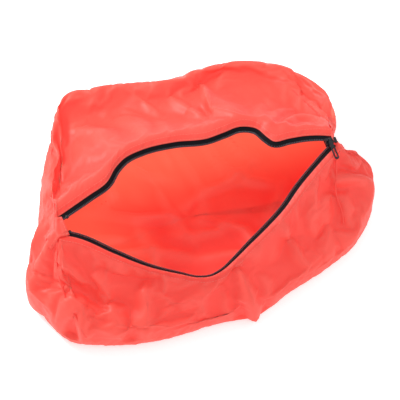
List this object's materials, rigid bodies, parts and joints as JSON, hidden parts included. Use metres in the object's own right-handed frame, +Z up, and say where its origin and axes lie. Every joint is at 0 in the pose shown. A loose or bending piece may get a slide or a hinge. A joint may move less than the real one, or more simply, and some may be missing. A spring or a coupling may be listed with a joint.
{
  "type": "stuff sack",
  "caption": "Lightweight coated-cloth sack lying slumped and open, with a full-length top zip, slider and loop puller.",
  "frame": {"origin": "middle of the flat underside, which lies on the ground", "axes": "+X along the zip towards the end where the open slider is parked, +Y across the sack to its far side, +Z up"},
  "size_m": [0.46, 0.36, 0.1236],
  "materials": {
    "shell_cloth": "coated nylon, fine plain weave, slight sheen",
    "binding_cloth": "folded binding tape",
    "zip_tape": "woven polyester tape",
    "zip_coil": "nylon coil",
    "slider_metal": "dark enamel on cast zinc",
    "stop_metal": "dark enamel"
  },
  "bodies": {
    "sack": {"bottom_panel": "shell_cloth", "bottom_stop": "stop_metal", "closed_chain_tail": "zip_coil", "near_body_panel": "shell_cloth", "far_body_panel": "shell_cloth", "left_end_panel": "shell_cloth", "right_end_panel": "shell_cloth", "near_floor_binding": "binding_cloth", "far_floor_binding": "binding_cloth", "left_end_binding": "binding_cloth", "right_end_binding": "binding_cloth", "near_zip_facing": "shell_cloth", "far_zip_facing": "shell_cloth", "left_zip_tab": "shell_cloth", "right_zip_tab": "shell_cloth", "near_zip_tape_ends": "zip_tape", "far_zip_tape_ends": "zip_tape", "near_zip_coil_ends": "zip_coil", "far_zip_coil_ends": "zip_coil", "top_stops": "stop_metal"},
    "near_lip": {"near_zip_tape": "zip_tape", "near_zip_coil": "zip_coil"},
    "far_lip": {"far_zip_tape": "zip_tape", "far_zip_coil": "zip_coil"},
    "slider": {"slider_body": "slider_metal", "slider_bridge": "slider_metal"},
    "puller": {"puller": "slider_metal"}
  },
  "joints": [
    {"name": "slider_travel", "type": "slide", "parent": "sack", "child": "slider", "axis": [-1, 0, 0], "range_m": [0, 0.324]},
    {"name": "near_lip_draw", "type": "slide", "parent": "sack", "child": "near_lip", "axis": [0, 0.9353, 0.3538], "range_m": [0, 0.1048]},
    {"name": "far_lip_draw", "type": "slide", "parent": "sack", "child": "far_lip", "axis": [0, -1, -0.0038], "range_m": [0, 0.038]},
    {"name": "puller_swing", "type": "hinge", "parent": "slider", "child": "puller", "pos_m": [0.173, -0.03268, 0.1216], "axis": [-1, 0, 0], "range_deg": [0, 165]}
  ],
  "couplings": [
    {"joint": "near_lip_draw", "follows": "slider_travel", "ratio": 0.32345},
    {"joint": "far_lip_draw", "follows": "slider_travel", "ratio": 0.11728}
  ]
}
